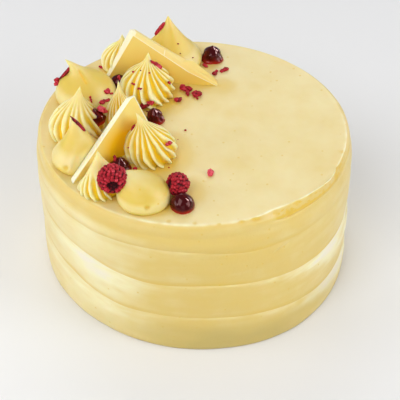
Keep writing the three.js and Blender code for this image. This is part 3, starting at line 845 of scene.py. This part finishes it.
# Shards: moulded slabs of white chocolate, broken into triangles that lean back in the cream. Each
# outline is given at several depths behind the face, because the broken edges slope.
# The corner is one end of its foot, which runs off at its turn; back is the side it leans to; slope
# says how pale its edge is painted where it faces right and more light falls, next to 1 elsewhere.
SHARDS = {
    "shard_rear": {
        "corner": (11.6, 45.4), "turn": 177.2, "lean": 10, "back": -1, "slope": 0.25,
        "cuts": (
            (0, ((0, 0), (77.9, 0), (60.3, 35.8), (59.2, 35.2), (38.4, 21.5), (26, 13.4), (21.1, 10.1),
                 (0.5, 0.5))),
            (1.6, ((0, 0), (78.4, 0), (60.9, 37.4), (58.4, 37.8), (37.9, 25.4), (26, 16.4), (20, 12.5),
                   (0, 1.4))),
            (5.6, ((0.6, 0), (79.2, 0), (63, 37.6), (59.8, 38), (41.8, 27.3), (23.6, 17), (18.4, 16.6),
                   (2.6, 3.8))),
        ),
    },
    "shard_front": {
        "corner": (-82, -63.6), "turn": 43.5, "lean": 12, "back": 1, "slope": 1,
        "cuts": (
            (0, ((0, 0), (73, 0), (60.2, 39.3), (56.6, 39), (0.4, 1.4))),
            (4.6, ((1.4, 0), (75.6, 0), (63, 36.9), (56.2, 37.8), (2.8, 2.4))),
        ),
    },
}
EDGE_WEAR = 0.6
# Faces smaller than this are part of a worn edge; those that face right by this much are the slope
FLAT_AREA = 12 * MM * MM
SLOPE_FACING = 0.2


def slab(shard):
    """A closed slab through its outlines, which leans back on its level bottom edge."""
    turn = math.radians(shard["turn"])
    lean = math.radians(shard["lean"])
    ahead = polar(1, turn, 0)
    behind = Vector((-math.sin(turn), math.cos(turn), 0)) * shard["back"]
    up = Vector((0, 0, math.cos(lean))) + behind * math.sin(lean)
    inward = behind * math.cos(lean) - Vector((0, 0, math.sin(lean)))
    foot = Vector((*shard["corner"], CAKE_HEIGHT - SINK))
    shape = bmesh.new()
    loops = []
    for depth, outline in shard["cuts"]:
        points = []
        for out, rise in outline:
            height = max(rise, depth * math.tan(lean))
            points.append(shape.verts.new(foot + ahead * out + up * height + inward * depth))
        loops.append([shape.edges.new((a, b)) for a, b in zip(points, points[1:] + points[:1])])
        if depth in (shard["cuts"][0][0], shard["cuts"][-1][0]):
            shape.faces.new(points)
    for near, far in zip(loops, loops[1:]):
        bmesh.ops.bridge_loops(shape, edges=near + far)
    bmesh.ops.recalc_face_normals(shape, faces=shape.faces)
    return shape


def chocolate(name, *, face, edge, shade_colour, shade_place, reach):
    """White chocolate: smooth, with a satin gloss and the faintest waves. Its broken and moulded edges,
    marked by the mesh's edge attribute, are paler than its face, partly their own colour and partly a
    painted highlight. The face is painted a deeper, warmer colour as shade towards a given place, between
    the two distances in reach."""
    material = new_material(name)
    place = noded(material, "TexCoord", "Object", {})
    marked = attribute(material, "edge")
    ends = {0: place, 1: Vector(shade_place) * MM}
    away = noded(material, "VectorMath", "Value", ends, operation="DISTANCE")
    near = ranged(material, away, reach[0] * MM, reach[1] * MM)
    share = reckoned(material, "SUBTRACT", near, marked, clamp=True)
    surface(material, {
        "Base Color": blended(material, share, blended(material, marked, face, edge), shade_colour),
        "Normal": embossed(material, cloudy(material, place, 160, 2), 0.08, FINE_RELIEF),
        "Roughness": 0.34,
        "Specular IOR Level": 0.08,
        "Subsurface Weight": 0.4,
        "Subsurface Radius": (1.0, 0.7, 0.35),
        "Subsurface Scale": 3 * MM,
    })
    return material


SHARD_FINISHES = {
    "shard_rear": chocolate(
        "shard_rear_chocolate", face=(0.89, 0.71, 0.23, 1), edge=(0.95, 0.87, 0.6, 1),
        shade_colour=(0.84, 0.57, 0.1, 1), shade_place=above_top((-60, 50, -495)), reach=(535, 495),
    ),
    "shard_front": chocolate(
        "shard_front_chocolate", face=(0.94, 0.75, 0.24, 1), edge=(1, 0.95, 0.68, 1),
        shade_colour=(1, 0.56, 0.01, 1), shade_place=above_top((-51, -30, 4)), reach=(25, 12),
    ),
}
for name, shard in SHARDS.items():
    shape = slab(shard)
    bmesh.ops.bevel(
        shape, geom=shape.edges[:], offset=EDGE_WEAR, affect="EDGES", segments=3, profile=0.5,
        material=-1, clamp_overlap=True,
    )
    # The edge attribute marks the paler edges, partly a painted highlight, with less of it on a slope facing
    # right
    edge = shape.faces.layers.float.new("edge")
    for face in sorted(shape.faces, key=lambda face: face.calc_area())[:-2]:
        face[edge] = shard["slope"] if face.normal.x > SLOPE_FACING else 1
    piece = finished(shape, name + "_chocolate", SHARD_FINISHES[name], "white_chocolate", name)
    for face in piece.data.polygons:
        face.use_smooth = face.area < FLAT_AREA

# Jam: dots of dark berry jam, dropped from a bottle, with a soft point and a wet gloss. Jam that stands
# on cream has its rise above the cake's top.
JAM_ROWS = 36
JAM_TURNS = 64
JAM_BEND = 2
TIERED_PROFILE = (
    (0, 1.04), (0.12, 1.07), (0.27, 0.99), (0.4, 0.87), (0.5, 0.86), (0.62, 0.76), (0.74, 0.55),
    (0.86, 0.28), (0.94, 0.13), (1, 0),
)
DOME_PROFILE = (
    (0, 1.03), (0.12, 1.06), (0.3, 1.02), (0.5, 0.92), (0.68, 0.75), (0.82, 0.53), (0.93, 0.28), (1, 0),
)
JAMS = {
    "jam_rear": mound((7.2, 77), 7.1, 11.2, (0, 0.5), JAM_BEND, TIERED_PROFILE),
    "jam_behind": mound((-58, 42), 6.4, 10, (0.5, 0.5), JAM_BEND, TIERED_PROFILE),
    "jam_left": mound((-71.4, -9.4), 7.2, 10, (-0.5, 0), JAM_BEND, TIERED_PROFILE, rise=10.5),
    "jam_middle": mound((-30.6, 5.5), 5.9, 11, (-1.5, 0), JAM_BEND, TIERED_PROFILE),
    "jam_front_left": mound((-52, -46.6), 6.8, 10, (0, 0), JAM_BEND, TIERED_PROFILE),
    "jam_front_right": mound((-9.6, -81.6), 7.7, 10.2, (-1, 0.5), JAM_BEND, DOME_PROFILE, lumpy=0.3),
}
# The jam is nearly black, and red where light comes through its thin foot
DARK_JAM = (0.05, 0.001, 0.002, 1)
RED_JAM = (0.45, 0.02, 0.01, 1)

wet_jam = new_material("wet_jam")
jam_marks = attribute(wet_jam, "tone")
surface(wet_jam, {
    "Base Color": ramped(wet_jam, jam_marks, DARK_JAM, RED_JAM),
    "Roughness": 0.06,
    "IOR": 1.4,
    "Specular Tint": (1, 0.62, 0.6, 1),
})
for name, dot in JAMS.items():
    seed = Vector(dot["place"]).to_3d()

    def jam_width(angle, share):
        around = polar(1, angle, 2 * share)
        fold = 0.05 * math.cos(3 * angle + 6 * share + seed.x)
        lump = 0.16 * noise(around * 1.4 + seed) + 0.05 * noise(around * 3.3 + seed)
        return 1 + dot.get("lumpy", 1) * (lump + fold) * (1 - share ** 3)

    def jam_tone(angle, share):
        patches = max(0, noise(polar(1, angle, share) * 2 + seed))
        return 0.9 * smooth(0.36, 0, share) + 0.4 * patches

    shape = piped(dot, JAM_ROWS, JAM_TURNS, jam_width, jam_tone)
    bmesh.ops.translate(shape, vec=(0, 0, dot.get("rise", 0)), verts=shape.verts)
    finished(shape, name + "_jelly", wet_jam, "jam", name)

# Raspberries: whole freeze-dried fruits, each a ring of small round drupelets about an open hollow.
# The profile gives the share of half the length, from the hollow's end, and the share of the radius.
BERRY_PROFILE = (
    (-1, 0.42), (-0.93, 0.66), (-0.7, 0.9), (-0.3, 1), (0.15, 0.94), (0.5, 0.76), (0.78, 0.5),
    (0.94, 0.24), (1, 0),
)
BERRY_TURNS = 32
DRUPELET = 1.45
DRUPELET_SIZES = (0.82, 1.12)
DRUPELET_TONES = (-0.35, 0.25)
# Depth of the core below the berry's outline, and how far apart drupelets and rings of them stand
CORE_DEPTH = DRUPELET * 0.75
DRUPELET_PITCH = DRUPELET * 1.7
RING_PITCH = DRUPELET * 1.5
# The first ring, as a share of half the length; the others follow along the outline, whose slope is
# measured over this step
FIRST_RING = -0.95
SLOPE_STEP = 0.05
# Centre above the cake's top, radius, length, radius of the hollow and which way the hollow faces
BERRIES = {
    "raspberry_left": ((-55.4, -75, 17.6), 9.9, 18.6, 3.9, (0.08, -0.99, -0.06)),
    "raspberry_right": ((-12.1, -69.4, 8.4), 7.7, 15.6, 2.7, (-0.87, -0.37, 0.33)),
}
# Pale dried skin, the fruit's own crimson, and a dark end that paints shade in the hollow and gaps
PALE_BERRY = (0.8, 0.1, 0.14, 1)
BERRY_COLOUR = (0.46, 0.008, 0.02, 1)
DARK_BERRY = (0.04, 0.001, 0.003, 1)
POWDER = 0.45

# Dry crimson fruit: powdery, with a fine crackled grain. The mesh's tone attribute runs from -1, where
# the dried skin is pale and pink, to 1, where it is dark; the core and the gaps between drupelets are
# painted dark, as shade.
berry_skin = new_material("berry_skin")
berry_place = noded(berry_skin, "TexCoord", "Object", {})
berry_tone = attribute(berry_skin, "tone")
crackle = cloudy(berry_skin, berry_place, 700, 5)
powdered = ranged(berry_skin, crackle, 0.3, 0.7, -POWDER, POWDER)
berry_share = ranged(berry_skin, reckoned(berry_skin, "ADD", powdered, berry_tone), -1, 1)
surface(berry_skin, {
    "Base Color": ramped(berry_skin, berry_share, PALE_BERRY, DARK_BERRY, (0.5, BERRY_COLOUR)),
    "Normal": embossed(berry_skin, crackle, 0.6, 0.3 * MM),
    "Roughness": 0.7,
    "Specular IOR Level": 0.25,
})
for name, (centre, radius, length, hollow, facing) in BERRIES.items():
    turn = Vector((0, 0, -1)).rotation_difference(Vector(facing).normalized()).to_matrix().to_4x4()
    half = length / 2
    outline = [(0, 1.3 * hollow - half), (0.6 * hollow, 1.2 * hollow - half), (hollow, 0.5 * hollow - half)]
    for reach, wide in BERRY_PROFILE:
        core_radius = max(wide * radius - CORE_DEPTH, hollow * (reach < 0))
        outline.append((core_radius, reach * (half - CORE_DEPTH)))
    outline[-1] = (0, half - CORE_DEPTH)
    shape = spun(outline, BERRY_TURNS)
    tone = shape.verts.layers.float.new("tone")
    # The core is painted dark, as shade in the hollow and between the drupelets
    for point in shape.verts:
        point[tone] = 1
    draw = random.Random(name)
    reach = FIRST_RING
    while reach < 1:
        wide = along(BERRY_PROFILE, reach) * radius - CORE_DEPTH
        if reach < 0:
            wide = max(wide, hollow + CORE_DEPTH)
        count = max(int(2 * math.pi * wide / DRUPELET_PITCH), 1)
        for step in range(count):
            angle = 2 * math.pi * (step + draw.random() * 0.4) / count
            middle = polar(wide, angle, reach * (half - CORE_DEPTH))
            size = DRUPELET * draw.uniform(*DRUPELET_SIZES)
            ball = bmesh.ops.create_icosphere(
                shape, subdivisions=2, radius=size, matrix=Matrix.Translation(middle),
            )
            own = draw.uniform(*DRUPELET_TONES)
            # Each drupelet is painted darker where it faces in towards the core, as shade in the gaps
            outwards = Vector((middle.x, middle.y, 1.2 * middle.z)).normalized()
            for point in ball["verts"]:
                point[tone] = own + 0.75 * (1 - (point.co - middle).dot(outwards) / size)
        further = along(BERRY_PROFILE, min(reach + SLOPE_STEP, 1))
        slope = abs(further - along(BERRY_PROFILE, reach)) / SLOPE_STEP
        reach += RING_PITCH / half / math.hypot(1, slope * radius / half)
    placed = Matrix.Translation(above_top(centre)) @ turn
    bmesh.ops.transform(shape, matrix=placed, verts=shape.verts)
    finished(shape, name + "_fruit", berry_skin, "raspberry", name)

# Broken raspberry: dry flakes and crumbs strewn over the cream, and a few specks. Each lies between two
# points above the cake's top, and has a width and a tone: below 0 it is pink, above 0 dark.
CRUMBS = (
    ((-98.6, 29.8, 12.6), (-99.6, 28, 11.6), 4, -0.45),
    ((-75.8, 11.8, 13.6), (-74.5, 9.4, 10.4), 1.8, -0.1),
    ((-64.9, 18.3, 12.2), (-63.4, 20.4, 11.8), 3.4, -0.1),
    ((-62.5, 19.9, 10), (-60.5, 22.3, 8.6), 2.4, -0.05),
    ((-68.6, 11, 9), (-66, 13.4, 8.8), 3.4, -0.3),
    ((-65.2, 14, 8.6), (-63, 16.8, 7.8), 3, -0.2),
    ((-67.6, -9, 20), (-63.8, -8.4, 17), 4.6, -0.8),
    ((-73.4, -12, 18.5), (-70.8, -12.6, 15.8), 3.8, -0.1),
    ((-57.4, 41.2, 9.6), (-56.8, 39, 7.8), 2.4, 0),
    ((-54.8, -46.5, 5), (-55.2, -46, 10.2), 3, 0),
    ((-36.8, 18.4, 2.6), (-34, 16.8, 6.6), 3.8, -0.6),
    ((-41, 15.6, 2.4), (-37.6, 16.2, 3.4), 4.2, 0.3),
    ((-47.6, 25.3, 15.8), (-46.2, 23.5, 16), 1.8, 0.2),
    ((-43.3, 20.5, 14.6), (-40.7, 20.4, 15.4), 1.8, 0),
    ((-23, 30.1, 14.4), (-21.4, 30.3, 12.8), 2.4, 0.1),
    ((-45.2, -28.4, 19.6), (-43.4, -28.8, 22), 3.2, -0.1),
    ((-21.4, -37.3, 14.2), (-18.9, -34, 13.4), 3, -0.4),
    ((-72.2, 62.2, 0.6), (-70.5, 60.9, 0.6), 2.2, -0.2),
    ((-14, 41, 1.4), (-8.6, 39.6, 1.4), 5, 0.1),
    ((-10.4, 37.4, 0.7), (-9.4, 33, 0.7), 2.8, -0.1),
    ((-4.7, 34.2, 1.1), (-1.4, 33.8, 1.1), 4.6, 0.1),
    ((-3.6, 29.8, 0.5), (-2.4, 29.4, 0.5), 2.2, 0.2),
    ((-16.2, 27.2, 1.1), (-14.2, 27.4, 1.1), 4.4, 0.3),
    ((1.6, 68.2, 0.7), (3.5, 66.3, 0.7), 2.6, -0.1),
    ((8.3, 57.8, 0.8), (10.6, 61.3, 0.8), 3.2, -0.1),
    ((13.6, 61.5, 0.8), (18.3, 64.5, 0.8), 3, -0.1),
    ((7, -50.4, 1), (8.5, -48, 1), 4, -0.7),
)
# Flakes are single long pieces
FLAKES = (
    ((-26.8, 73.6, 32), (-31.4, 73.4, 24), 4.4, -0.1),
    ((-90.8, 29.8, 22.4), (-96.4, 31, 14), 4.6, 0.3),
    ((-82.4, -37.4, 33), (-76.6, -38.4, 26), 3.2, 0.1),
    ((-35.2, 35.4, 28), (-30.6, 38.4, 22.6), 2.6, 0.1),
    ((-31.6, 37.8, 23), (-27.4, 39.2, 19), 3.8, -0.4),
)
# Place above the cake's top, and size
SPECKS = (
    (-47.4, 33.5, 19.2, 1.5), (-41.9, 30.7, 22.8, 0.9), (-35.8, 29.2, 22.1, 1.2),
    (-51.4, 22.9, 7.4, 1.4), (-10, -4.4, 0.1, 1.6), (-14.5, -14.7, 0, 0.9), (-19.8, -44, 0, 1.4),
    (-17.5, 64.2, 21.6, 1.2), (-15.5, 59.8, 16.4, 0.9), (-6.6, 62.5, 11.3, 1.1),
    (-70, -21.2, 6.1, 2.1), (-42.5, -46.5, 0.2, 2.6), (-36.9, 14.6, 0, 1.4),
    (-46.9, -39.5, 12.5, 1.1),
)
SPECK_TONE = 0.1
# A piece wider than this has one more lump, and finer ones. Each lump is a ball, cut by facets.
WIDE_CRUMB = 2.5
LUMP_SIZES = (0.38, 0.52)
FACETS = 6
FACET_PLACES = (0.6, 0.9)
FACET_CUT = 0.9
crumbs = bmesh.new()
crumb_tone = crumbs.verts.layers.float.new("tone")
draw = random.Random("broken raspberry")
rows = [(*row, False) for row in CRUMBS] + [(*row, True) for row in FLAKES]
rows += [((x, y, z), (x + size * 0.3, y, z), size, SPECK_TONE, False) for x, y, z, size in SPECKS]
for start, end, width, tone, single in rows:
    start = above_top(start)
    line = above_top(end) - start
    turn = Vector((1, 0, 0)).rotation_difference(line).to_matrix()
    wide = width > WIDE_CRUMB
    lumps = 1 if single else 1 + round(0.8 * line.length / width) + int(wide)
    for lump in range(lumps):
        middle = start + line * ((lump + 0.5) / lumps)
        middle += width * 0.2 * Vector((draw.uniform(-1, 1), draw.uniform(-1, 1), draw.uniform(-0.4, 1)))
        size = width * draw.uniform(*LUMP_SIZES)
        length = max(1.2, 0.75 * line.length / lumps / size)
        own = tone + 0.12 + draw.uniform(-0.4, 0.4)
        seed = Vector((draw.uniform(0, 50), draw.uniform(0, 50), draw.uniform(0, 50)))
        planes = []
        for _ in range(FACETS):
            normal = Vector((draw.gauss(0, 1), draw.gauss(0, 1), draw.gauss(0, 1))).normalized()
            planes.append((normal, draw.uniform(*FACET_PLACES)))
        ball = bmesh.ops.create_icosphere(crumbs, subdivisions=3 if wide else 2, radius=1)
        for point in ball["verts"]:
            broad = 0.4 * noise(point.co * 1.4 + seed)
            fine = 0.25 * noise(point.co * 3.5 + seed)
            form = point.co * (1.1 + broad + fine)
            point[crumb_tone] = own + 0.8 * noise(point.co * 2 - seed)
            for normal, reach in planes:
                form -= normal * max(form.dot(normal) - reach, 0) * FACET_CUT
            form = Vector((length * form.x, form.y, 0.85 * form.z))
            point.co = middle + turn @ (form * size)
finished(crumbs, "broken_raspberry", berry_skin, "raspberry")

# Painted shade and caught light: where toppings stand close to the icing and to each other the cream is
# painted a deeper yellow. Each topping is kept as a short line, with the radius and the height of a cone
# about it. Tone, reach and shift of the painted shade along a topping's foot and of the broad painted
# shadow and glow beside it, and tone and reach of the painted shade between the creams
FOOT_TONE = 0.4
FOOT_REACH = 1.3
FOOT_SHIFT = Vector((1.2, 0.4))
SHADOW_GLOW_TONE = 0.75
SHADOW_GLOW_REACH = 8
SHADOW_GLOW_SHIFT = Vector((3.5, 1))
CREAM_TONE = 0.4
CREAM_REACH = 5
SHARD_HEIGHT = 42
BERRY_CONE = (6.5, 16)
right_berry = Vector(BERRIES["raspberry_right"][0]).to_2d()
cones = {"raspberry_right": (right_berry, right_berry, *BERRY_CONE)}
for name, piece in {**KISSES, **SWIRLS}.items():
    cones[name] = (Vector(piece["place"]), Vector(piece["place"]), piece["radius"], piece["height"])
for name, shard in SHARDS.items():
    _, face_outline = shard["cuts"][0]
    length = face_outline[1][0]
    start = Vector(shard["corner"])
    ahead = polar(1, math.radians(shard["turn"]), 0).to_2d()
    cones[name] = (start, start + ahead * length, 0, SHARD_HEIGHT)


def away_from_cones(here, height, own=None):
    """How far a place at a height above the top is from the nearest topping other than its own."""
    nearest = CAKE_RADIUS
    for name, (start, end, radius, tall) in cones.items():
        if name != own and height <= tall:
            nearest = min(nearest, from_line(here, start, end) - radius * (1 - height / tall))
    return max(nearest, 0)


tones = icing_piece.data.attributes["tone"].data
for vertex in icing_piece.data.vertices:
    here = vertex.co.to_2d() / MM
    if vertex.co.z > (CAKE_HEIGHT - 1) * MM:
        # Painted shade along each foot, and a broad painted shadow and glow shifted to the right of it
        foot = FOOT_TONE * bell(away_from_cones(here - FOOT_SHIFT, 0) / FOOT_REACH)
        shadow_glow = SHADOW_GLOW_TONE * bell(away_from_cones(here - SHADOW_GLOW_SHIFT, 0) / SHADOW_GLOW_REACH)
        shadow_glow *= smooth(RIM_RADIUS - 4, RIM_RADIUS - 18, (here - TOP_SHIFT).length)
        tones[vertex.index].value += foot + shadow_glow
for name, cream in creams.items():
    tones = cream.data.attributes["tone"].data
    tall = cones[name][3]
    for vertex in cream.data.vertices:
        height = max(vertex.co.z / MM - CAKE_HEIGHT, 0)
        # Painted shade where the creams stand close to one another
        away = away_from_cones(vertex.co.to_2d() / MM, height, name)
        tones[vertex.index].value += CREAM_TONE * bell(away / CREAM_REACH) * smooth(tall, 0.4 * tall, height)
